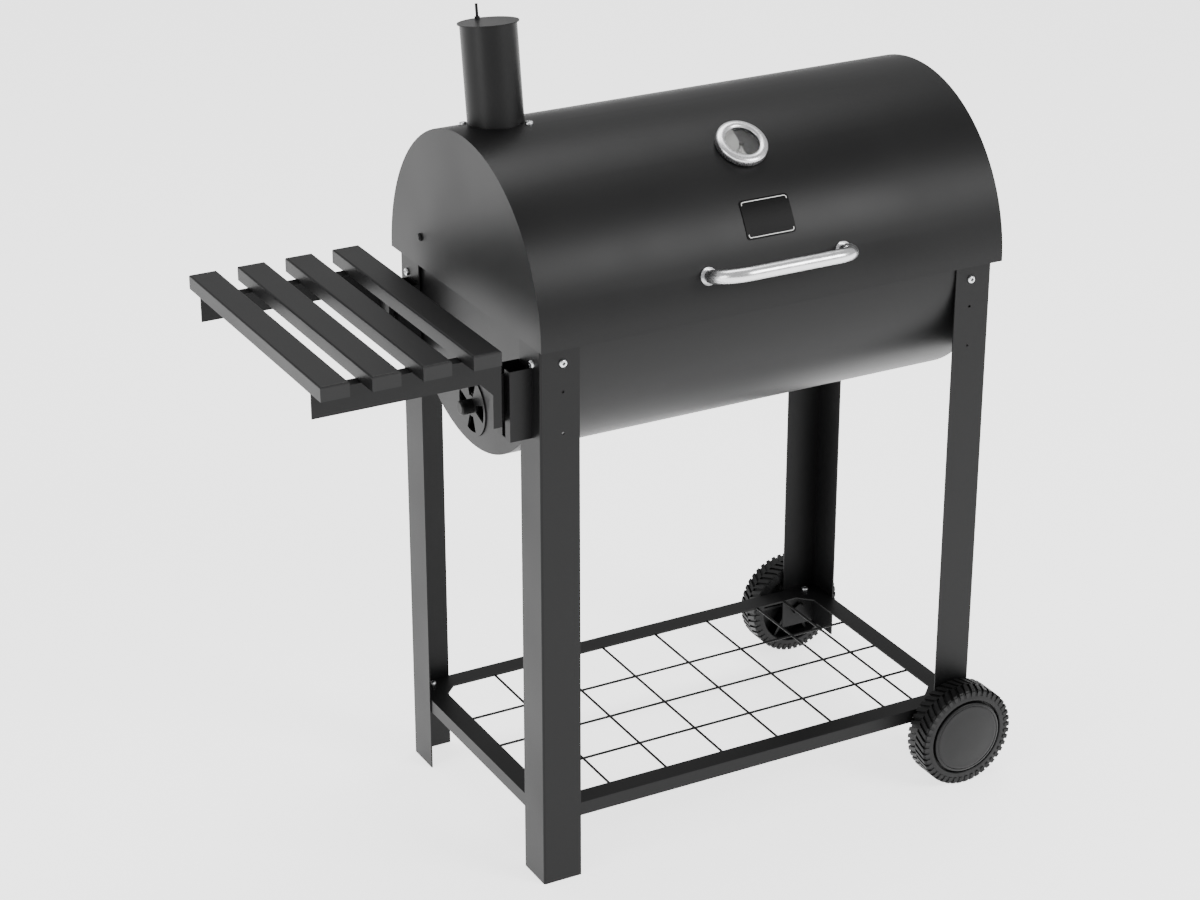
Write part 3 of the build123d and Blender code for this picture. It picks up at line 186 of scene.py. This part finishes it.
SHEET_BEVEL = 0.6 * MM
SLAT_BEVEL = 1.2 * MM
BEVEL_SEGMENTS = 2
BEVEL_ANGLE = 35
SMOOTH_ANGLE = 38
KEPT = {
    CART: (
        "leg_front_left", "leg_rear_left", "leg_front_right", "leg_rear_right",
        "shelf_rail_front", "shelf_rail_rear", "shelf_rail_left", "shelf_rail_right",
        "shelf_arm_front", "shelf_arm_rear", "shelf_receiver_front", "shelf_receiver_rear",
        "shelf_wires", "axles",
    ),
    SLATS: ("shelf_slat_1", "shelf_slat_2", "shelf_slat_3", "shelf_slat_4"),
    BARREL: (
        "bowl_shell", "bowl_end_left", "bowl_end_right", "lid_shell", "lid_end_left", "lid_end_right",
        "chimney_pipe", "damper_disc", "damper_screw", "vent_disc", "hinge_leaves_bowl", "hinge_leaves_lid",
    ),
    INSIDE: ("chimney_flange", "grate_ledges", "grate_centre_bar"),
    STEEL: ("handle_tube", "handle_feet", "thermometer_stem"),
    ZINC: (
        "bowl_spacers", "hinge_pins", "thermometer_nut", "receiver_rivets",
    ),
    CHROME: ("cooking_grate_left", "cooking_grate_right", "warming_rack", "rack_cheeks"),
    IRON: ("charcoal_grate",),
    KNOB: ("vent_knob",),
    GLASS: ("thermometer_window",),
    PLATE: ("name_plate",),
}
NO_BEVEL = {
    "shelf_wires", "handle_tube", "cooking_grate_left", "cooking_grate_right", "warming_rack",
    "charcoal_grate", "hinge_pins", "thermometer_window", "thermometer_stem",
}


def bevel(obj, width):
    """Rounds an object's sharp edges."""
    step = obj.modifiers.new("edges", "BEVEL")
    step.width = width
    step.segments = BEVEL_SEGMENTS
    step.limit_method = "ANGLE"
    step.angle_limit = radians(BEVEL_ANGLE)
    step.harden_normals = False


for material, names in KEPT.items():
    for name in names:
        kept = nodes[name]
        for slot in kept.material_slots:
            slot.material = material
        if name not in NO_BEVEL:
            bevel(kept, SLAT_BEVEL if material is SLATS else SHEET_BEVEL)

# ---------------------------------------------------------------- mesh helpers


def add_piece(name, mesh_builder, materials, body, replaced=()):
    """Makes an object from a bmesh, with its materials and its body."""
    mesh = bpy.data.meshes.new(name)
    bmesh.ops.recalc_face_normals(mesh_builder, faces=mesh_builder.faces)
    mesh_builder.to_mesh(mesh)
    mesh_builder.free()
    obj = bpy.data.objects.new(name, mesh)
    bpy.context.scene.collection.objects.link(obj)
    for each in materials if isinstance(materials, tuple) else (materials,):
        mesh.materials.append(each)
    mesh.shade_smooth()
    mesh.set_sharp_from_angle(angle=radians(SMOOTH_ANGLE))
    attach(obj, body)
    if replaced:
        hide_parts(*replaced)


def axes_at(origin, normal, across=(1, 0, 0)):
    """A matrix with its z along a normal and its x near a given direction."""
    z = Vector(normal).normalized()
    x = Vector(across)
    x = (x - z * x.dot(z)).normalized()
    y = z.cross(x)
    return Matrix.Translation(Vector(origin)) @ Matrix((x, y, z)).transposed().to_4x4()


def turned_point(place, radius, turn, height):
    """A point at a radius, an angle and a height about a place's z."""
    return place @ Vector((radius * cos(turn), radius * sin(turn), height))


def lathe(bm, place, profile, steps=48):
    """Turns a closed profile of (radius, height) about a place's z. A radius of 0 is on the axis."""
    rings = []
    for radius, height in profile:
        count = steps if radius > 0 else 1
        turns = [tau * i / steps for i in range(count)]
        rings.append([bm.verts.new(turned_point(place, radius, turn, height)) for turn in turns])
    for low, high in zip(rings, rings[1:] + rings[:1]):
        if len(low) == 1 and len(high) == 1:
            continue
        for i in range(steps):
            j = (i + 1) % steps
            corners = [low[i % len(low)], low[j % len(low)], high[j % len(high)], high[i % len(high)]]
            bm.faces.new(list(dict.fromkeys(corners)))


def side_faces(bm, first, second, index=0):
    """Joins two loops of the same number of points with a band of faces."""
    for i in range(len(first)):
        j = (i + 1) % len(first)
        bm.faces.new((first[i], first[j], second[j], second[i])).material_index = index


def bar_outline(start, end, half):
    """The corners of a straight bar along x."""
    return [(start, -half), (end, -half), (end, half), (start, half)]


def prism(bm, place, outline, low, high, index=0):
    """Extrudes an outline of (x, y) points between two heights."""
    bottom = [bm.verts.new(place @ Vector((x, y, low))) for x, y in outline]
    top = [bm.verts.new(place @ Vector((x, y, high))) for x, y in outline]
    bm.faces.new(bottom).material_index = index
    bm.faces.new(top).material_index = index
    side_faces(bm, bottom, top, index)


def hexagon(radius):
    """The corners of a regular hexagon."""
    return [(radius * cos(tau * i / 6), radius * sin(tau * i / 6)) for i in range(6)]


def pan_head(bm, place, radius, height, driver=True):
    """A domed screw head, with or without a cross recess, standing on a place."""
    recess, floor_height = 0.42 * radius, 0.45 * height
    profile = [(0, 0), (radius, 0), (radius, floor_height), (0.93 * radius, 0.72 * height)]
    profile += [(0.75 * radius, 0.92 * height), (0.5 * radius, height)]
    if not driver:
        lathe(bm, place, profile + [(0, height)], 32)
        return
    profile += [(recess, height), (0.16 * radius, floor_height), (0, floor_height)]
    lathe(bm, place, profile, 32)
    # The cross is drawn as dark bars in the second slot: painted shade where the recess lies in shadow.
    for turn in (0, pi / 2):
        turned = place @ Matrix.Rotation(turn, 4, "Z")
        outline = bar_outline(-1.15 * recess, 1.15 * recess, 0.11 * radius)
        prism(bm, turned, outline, 0.90 * height, 1.005 * height, 1)


def shank(bm, place, low, high):
    """A plain round shank along a place's z."""
    lathe(bm, place, [(0, low), (SHANK_R, low), (SHANK_R, high), (0, high)], 20)


def nut(bm, place, height):
    """A hexagon nut standing at a height on a place."""
    outline = [(NUT_R * cos(tau * i / 6), NUT_R * sin(tau * i / 6)) for i in range(6)]
    prism(bm, place @ Matrix.Translation((0, 0, height)), outline, 0, NUT_H)


def bolt(bm, place, reach, *nuts):
    """A screw head, a shank that goes in by its reach, and nuts at their depths."""
    pan_head(bm, place, HEAD_R, HEAD_H)
    shank(bm, place, -reach, 0)
    for depth in nuts:
        nut(bm, place, -depth)


# ---------------------------------------------------------------- places taken from the frame

bowl_lo, bowl_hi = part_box("bowl_shell")
CENTRE_X = (bowl_lo.x + bowl_hi.x) / 2
CENTRE_Y = (bowl_lo.y + bowl_hi.y) / 2
lid_lo, lid_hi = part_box("lid_shell")
LID_R = (lid_hi.y - lid_lo.y) / 2
LID_Z = lid_lo.z
LID_HALF = (lid_hi.x - lid_lo.x) / 2
leg_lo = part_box("leg_front_left")[0]
LEG_X = CENTRE_X - leg_lo.x
LEG_Y = CENTRE_Y - leg_lo.y
LID_SHEET = 1.5 * MM
HEAD_R, HEAD_H = 5.5 * MM, 3.5 * MM
NUT_R, NUT_H = 5 * MM, 4 * MM
SHANK_R = 3 * MM


def on_lid(x, degrees, radius):
    """A place on a circle about the lid's axis, with its z out of the lid and its y up the lid."""
    out = Vector((0, -cos(radians(degrees)), sin(radians(degrees))))
    return axes_at(Vector((CENTRE_X + x, CENTRE_Y, LID_Z)) + out * radius, out)


# ---------------------------------------------------------------- bolts

SIDES = (-1, 1)
# Each bolt's second slot is the painted shade of its cross recess.
ZINC_BOLT = (ZINC, RECESS_SHADE)
PAINTED_BOLT = (BARREL, RECESS_SHADE)
FLANGE_BOLT_X, FLANGE_BOLT_Z = 316 * MM, 773 * MM
SIDE_BOLT_Y, SIDE_BOLT_Z = 189 * MM, 771 * MM
bolts = bmesh.new()
for side_x in SIDES:
    for side_y in SIDES:
        spot = (CENTRE_X + side_x * FLANGE_BOLT_X, CENTRE_Y + side_y * LEG_Y, FLANGE_BOLT_Z)
        bolt(bolts, axes_at(spot, (0, side_y, 0)), 11 * MM, 9.5 * MM)
        spot = (CENTRE_X + side_x * LEG_X, CENTRE_Y + side_y * SIDE_BOLT_Y, SIDE_BOLT_Z)
        bolt(bolts, axes_at(spot, (side_x, 0, 0), (0, 1, 0)), 12.5 * MM, 10.6 * MM)
add_piece("leg_bolts_detail", bolts, ZINC_BOLT, "cart", ("leg_bolts",))

RAIL_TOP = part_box("shelf_rail_front")[1].z
SHELF_BOLT_X, SHELF_BOLT_Y = 324 * MM, 196 * MM
corner_bolts = bmesh.new()
for side_x in SIDES:
    for side_y in SIDES:
        spot = (CENTRE_X + side_x * SHELF_BOLT_X, CENTRE_Y + side_y * SHELF_BOLT_Y, RAIL_TOP)
        bolt(corner_bolts, axes_at(spot, (0, 0, 1)), 8 * MM, 6 * MM)
add_piece("shelf_bolts_detail", corner_bolts, ZINC_BOLT, "cart", ("shelf_bolts",))

HANDLE_X = (-107 * MM, 99 * MM)
HANDLE_ANGLE = 15
HANDLE_SCREW_REACH = 9 * MM
handle_bolts = bmesh.new()
for x in HANDLE_X:
    place = on_lid(x, HANDLE_ANGLE, LID_R - LID_SHEET - 0.1 * MM)
    shank(handle_bolts, place, 0, HANDLE_SCREW_REACH)
    pan_head(handle_bolts, place @ Matrix.Rotation(pi, 4, "X"), HEAD_R, HEAD_H)
add_piece("handle_screws_detail", handle_bolts, ZINC_BOLT, "lid", ("handle_screws",))

CHIMNEY_X, CHIMNEY_ANGLE = -287 * MM, 98
BOLT_OFFSET = 32.5 * MM
flange_bolts = bmesh.new()
for side in SIDES:
    turn = side * BOLT_OFFSET / LID_R * 180 / pi
    place = on_lid(CHIMNEY_X - side * BOLT_OFFSET, CHIMNEY_ANGLE + turn, LID_R)
    bolt(flange_bolts, place, 10 * MM, 7.7 * MM)
add_piece("chimney_bolts_detail", flange_bolts, ZINC_BOLT, "lid", ("chimney_bolts",))

RACK_Y, RACK_Z = 130 * MM, 841.5 * MM
rack_pins = bmesh.new()
for side_x in SIDES:
    spot = (CENTRE_X + side_x * LID_HALF, CENTRE_Y + RACK_Y, RACK_Z)
    bolt(rack_pins, axes_at(spot, (side_x, 0, 0), (0, 1, 0)), 22 * MM, 5.5 * MM, 21.5 * MM)
add_piece("rack_bolts_detail", rack_pins, PAINTED_BOLT, "lid", ("rack_bolts",))

# ---------------------------------------------------------------- thermometer

needle_joint = joints["thermometer_needle_turn"]
gauge_out = -Vector(needle_joint["axis"])
NEEDLE_LOW, NEEDLE_HIGH = 4.5 * MM, 5.0 * MM
gauge_origin = Vector(needle_joint["pos_m"]) - gauge_out * NEEDLE_LOW
gauge = axes_at(gauge_origin, gauge_out)
GAUGE_FLOOR, DIAL_TOP = 2 * MM, 3 * MM
CAVITY_R = 27 * MM

case = bmesh.new()
CASE_PROFILE = (
    (5, 0), (34, 0), (35.2, 0.8), (36, 2.4), (36, 8.6), (35.6, 10.2), (34.2, 11.6), (31, 12.6),
    (28, 12.9), (25.6, 12.2), (24.4, 11.2), (23.9, 10.5), (27, 10.4), (27, 2), (5, 2),
)
lathe(case, gauge, [(r * MM, h * MM) for r, h in CASE_PROFILE], 96)
add_piece("thermometer_bezel", case, BEZEL, "lid", ("thermometer_case",))

# The dial: a light half and a dark half, and plain tick marks.
dial = bmesh.new()
HALF_STEPS = 32
for start, index in ((pi / 2, 0), (-pi / 2, 1)):
    turns = [start + pi * i / HALF_STEPS for i in range(HALF_STEPS + 1)]
    outline = [(CAVITY_R * cos(turn), CAVITY_R * sin(turn)) for turn in turns]
    prism(dial, gauge, outline, GAUGE_FLOOR, DIAL_TOP, index)
TICKS = 28
DIAL_START, DIAL_SWEEP = 225, 270
TICK_OUT, TICK_H = 23.5 * MM, 0.06 * MM
for i in range(TICKS):
    turn = radians(DIAL_START - DIAL_SWEEP * i / (TICKS - 1))
    major = i % 3 == 0
    inner = (19.5 if major else 21.5) * MM
    half = (0.45 if major else 0.22) * MM
    turned = gauge @ Matrix.Rotation(turn, 4, "Z")
    contrast = 1 if cos(turn) < 0 else 0
    prism(dial, turned, bar_outline(inner, TICK_OUT, half), DIAL_TOP, DIAL_TOP + TICK_H, contrast)
add_piece("thermometer_face", dial, (DIAL_LIGHT, DIAL_DARK), "lid", ("thermometer_dial",))

pointer = bmesh.new()
needle_place = gauge @ Matrix.Rotation(radians(DIAL_START - 90), 4, "Z")
outline = [(-1.1 * MM, -8 * MM), (1.1 * MM, -8 * MM), (0.35 * MM, 21 * MM), (-0.35 * MM, 21 * MM)]
prism(pointer, needle_place, outline, NEEDLE_LOW, NEEDLE_HIGH)
HUB_PROFILE = ((0, 3.2), (1, 3.2), (1, 4.3), (3.2, 4.3), (3.2, 5.4), (2.4, 6.0), (0, 6.0))
lathe(pointer, gauge, [(r * MM, h * MM) for r, h in HUB_PROFILE], 32)
add_piece("thermometer_pointer", pointer, NEEDLE, "needle", ("thermometer_needle",))

# ---------------------------------------------------------------- name plate border

plate_lo, plate_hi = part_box("name_plate")
PLATE_HALF = (plate_hi.x - plate_lo.x) / 2
PLATE_ANGLES = (24.0, 37.5)
PLATE_FACE = LID_R + 1.2 * MM
BORDER, MARGIN = 0.9 * MM, 2.4 * MM


def rounded_outline(half_x, half_y, radius, steps=6):
    """The points of a rounded rectangle."""
    points = []
    for corner, (sx, sy) in enumerate(((1, 1), (-1, 1), (-1, -1), (1, -1))):
        for i in range(steps + 1):
            turn = (corner + i / steps) * pi / 2
            x = sx * (half_x - radius) + radius * cos(turn)
            points.append((x, sy * (half_y - radius) + radius * sin(turn)))
    return points


def wrap(x, up, radius):
    """A point at a distance along the barrel and up the lid's curve from the plate's middle."""
    turn = radians(sum(PLATE_ANGLES) / 2) + up / LID_R
    return Vector((plate_lo.x + PLATE_HALF + x, CENTRE_Y - radius * cos(turn), LID_Z + radius * sin(turn)))


border = bmesh.new()
PLATE_UP = LID_R * radians(PLATE_ANGLES[1] - PLATE_ANGLES[0]) / 2
BORDER_H = 0.12 * MM
outer = rounded_outline(PLATE_HALF - MARGIN, PLATE_UP - MARGIN, 3.5 * MM)
inner = rounded_outline(PLATE_HALF - MARGIN - BORDER, PLATE_UP - MARGIN - BORDER, 2.7 * MM)
loops = []
for outline, lift in ((outer, 0), (outer, BORDER_H), (inner, BORDER_H), (inner, 0)):
    loops.append([border.verts.new(wrap(x, up, PLATE_FACE + lift)) for x, up in outline])
for first, second in zip(loops, loops[1:] + loops[:1]):
    side_faces(border, first, second)
add_piece("name_plate_border", border, INK, "lid")

# ---------------------------------------------------------------- wheels

WHEEL_R = 76 * MM
GROOVE_R = 72.6 * MM
TREAD_LOW, TREAD_HIGH = 5 * MM, 47 * MM
TREAD_MIDDLE, TREAD_HALF = (TREAD_LOW + TREAD_HIGH) / 2, (TREAD_HIGH - TREAD_LOW) / 2
LUGS = 44
PITCH = tau / LUGS
LUG_SHARE = 0.56 * PITCH / 2
CHEVRON = 0.8
STATIONS = (0, 0.5, 0.93, 1)
SHOULDER_DROP = 1.8 * MM
BLOCK_PROUD, BLOCK_H = 0.9 * MM, 3 * MM
BLOCK_IN_R, BLOCK_OUT_R = 66 * MM, 73.6 * MM
RIBS = 6
WHEEL_PROFILE = (
    (6.05, 1), (13.2, 1), (14, 1.8), (14, 36), (58, 36), (58, 6), (59, 5), (70, 5), (72.4, 6.5), (73.2, 9),
    (73.2, 43), (72.4, 45.5), (70, 47), (59, 47), (58, 46), (58, 40), (6.05, 40),
)
CAP_PROFILE = (
    (0, 50.5), (0, 52), (20, 51.6), (38, 50.2), (47, 48.9), (49.5, 48.9), (50.5, 48.2), (51.5, 48.9),
    (53.6, 48.6), (54.8, 47.6), (55, 46.6), (55, 40), (53.5, 40), (53.5, 46), (47, 47.2), (20, 50.1),
)


def lug(wheel, place, start, sign):
    """One slanted lug, from the middle of the tread to its edge on one side."""
    rings = []
    for share in STATIONS:
        angle = start + share * CHEVRON * PITCH
        top = WHEEL_R - (SHOULDER_DROP if share == 1 else 0)
        corners = (
            (GROOVE_R, -LUG_SHARE), (top, -LUG_SHARE), (top, 0), (top, LUG_SHARE), (GROOVE_R, LUG_SHARE),
        )
        height = TREAD_MIDDLE + sign * share * TREAD_HALF
        rings.append([wheel.verts.new(turned_point(place, r, angle + t, height)) for r, t in corners])
    for first, second in zip(rings, rings[1:]):
        side_faces(wheel, first, second)
    wheel.faces.new(rings[0])
    wheel.faces.new(rings[-1])


def shoulder_block(wheel, place, middle, sign):
    """The end of a lug, which wraps onto the side of the tyre."""
    block = [
        (BLOCK_IN_R, -LUG_SHARE * 0.9), (BLOCK_OUT_R, -LUG_SHARE),
        (BLOCK_OUT_R, LUG_SHARE), (BLOCK_IN_R, LUG_SHARE * 0.9),
    ]
    outside = TREAD_MIDDLE + sign * (TREAD_HALF + BLOCK_PROUD)
    low, high = (
        [wheel.verts.new(turned_point(place, r, middle + t, height)) for r, t in block]
        for height in (outside - sign * BLOCK_H, outside)
    )
    wheel.faces.new(low)
    wheel.faces.new(high)
    side_faces(wheel, low, high)


def add_wheel(side, body, node):
    """A moulded wheel with a chevron tread, a ribbed hollow on its inner side, and a cap."""
    lo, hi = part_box(node)
    place = axes_at(((lo.x + hi.x) / 2, CENTRE_Y + side * LEG_Y, WHEEL_R), (0, side, 0))
    wheel = bmesh.new()
    lathe(wheel, place, [(r * MM, h * MM) for r, h in WHEEL_PROFILE], 120)
    for i in range(LUGS):
        for sign, offset in ((-1, 0.0), (1, 0.5)):
            start = (i + offset) * PITCH
            lug(wheel, place, start, sign)
            shoulder_block(wheel, place, start + CHEVRON * PITCH, sign)
    for i in range(RIBS):
        turned = place @ Matrix.Rotation(tau * i / RIBS, 4, "Z")
        prism(wheel, turned, bar_outline(13 * MM, 59 * MM, 2 * MM), 18 * MM, 37 * MM)
    add_piece(node + "_detail", wheel, PLASTIC, body, (node,))
    cap = bmesh.new()
    lathe(cap, place, [(r * MM, h * MM) for r, h in CAP_PROFILE], 96)
    cap_node = node.replace("wheel_", "wheel_cap_")
    add_piece(cap_node + "_detail", cap, CAP, body, (cap_node,))


add_wheel(-1, "front_wheel", "wheel_front")
add_wheel(1, "rear_wheel", "wheel_rear")

# ---------------------------------------------------------------- hinge rivets

HINGE_X, RIVET_OFFSET = 220 * MM, 16 * MM
LEAF_T = 2 * MM
LID_RIVET_ANGLE, BOWL_RIVET_ANGLE = 169.5, 12
RIVET_R, RIVET_H = 3.2 * MM, 1.3 * MM
lid_rivets = bmesh.new()
bowl_rivets = bmesh.new()
BOWL_Z = 790 * MM
BOWL_R = (bowl_hi.y - bowl_lo.y) / 2
for middle in (-HINGE_X, HINGE_X):
    for offset in (-RIVET_OFFSET, RIVET_OFFSET):
        place = on_lid(middle + offset, LID_RIVET_ANGLE, LID_R + LEAF_T)
        pan_head(lid_rivets, place, RIVET_R, RIVET_H, driver=False)
        out = Vector((0, cos(radians(BOWL_RIVET_ANGLE)), -sin(radians(BOWL_RIVET_ANGLE))))
        spot = Vector((CENTRE_X + middle + offset, CENTRE_Y, BOWL_Z)) + out * (BOWL_R + LEAF_T)
        pan_head(bowl_rivets, axes_at(spot, out), RIVET_R, RIVET_H, driver=False)
add_piece("hinge_rivets_lid", lid_rivets, ZINC, "lid")
add_piece("hinge_rivets_bowl", bowl_rivets, ZINC, "cart")

# ---------------------------------------------------------------- floor, light and camera

FLOOR_SIZE = 40.0
mesh = bpy.data.meshes.new("floor")
half = FLOOR_SIZE / 2
mesh.from_pydata([(-half, -half, 0), (half, -half, 0), (half, half, 0), (-half, half, 0)], [], [(0, 1, 2, 3)])
floor = bpy.data.objects.new("floor", mesh)
bpy.context.scene.collection.objects.link(floor)
floor_material, floor_shader = new_material("floor_pale", (0.92, 0.92, 0.92), 0.9, specular=0.1)
floor_shader.inputs["Emission Color"].default_value = (1, 1, 1, 1)
floor_shader.inputs["Emission Strength"].default_value = 2.0
mesh.materials.append(floor_material)

world = bpy.data.worlds.new("studio")
bpy.context.scene.world = world
world.use_nodes = True
world.node_tree.nodes["Background"].inputs["Color"].default_value = (1, 1, 1, 1)
world.node_tree.nodes["Background"].inputs["Strength"].default_value = 0.7


def area_light(name, spot, aim, size, power):
    """A soft rectangular light at a spot, turned to face a point."""
    data = bpy.data.lights.new(name, "AREA")
    data.shape = "RECTANGLE"
    data.size, data.size_y = size
    data.energy = power
    lamp = bpy.data.objects.new(name, data)
    lamp.location = spot
    lamp.rotation_mode = "QUATERNION"
    lamp.rotation_quaternion = (Vector(aim) - Vector(spot)).to_track_quat("-Z", "Y")
    bpy.context.scene.collection.objects.link(lamp)


area_light("key", (1.9, -2.9, 2.6), (0.15, 0, 0.75), (1.6, 1.4), 95)
area_light("fill", (-3.4, -1.0, 1.5), (0, 0, 0.6), (1.6, 1.8), 45)
area_light("top", (0.3, 0.8, 3.6), (0.1, 0, 0.8), (2.6, 1.4), 60)

CAMERA_SPOT = (CENTRE_X - 1.9327, CENTRE_Y - 3.3013, 2.2189)
CAMERA_YAW, CAMERA_PITCH = 28.39, -24.2
LENS = 88.6
camera_data = bpy.data.cameras.new("camera")
camera_data.lens = LENS
camera_data.sensor_width = 36.0
camera = bpy.data.objects.new("camera", camera_data)
camera.location = CAMERA_SPOT
camera.rotation_euler = (radians(90 + CAMERA_PITCH), 0, -radians(CAMERA_YAW))
bpy.context.scene.collection.objects.link(camera)
bpy.context.scene.camera = camera
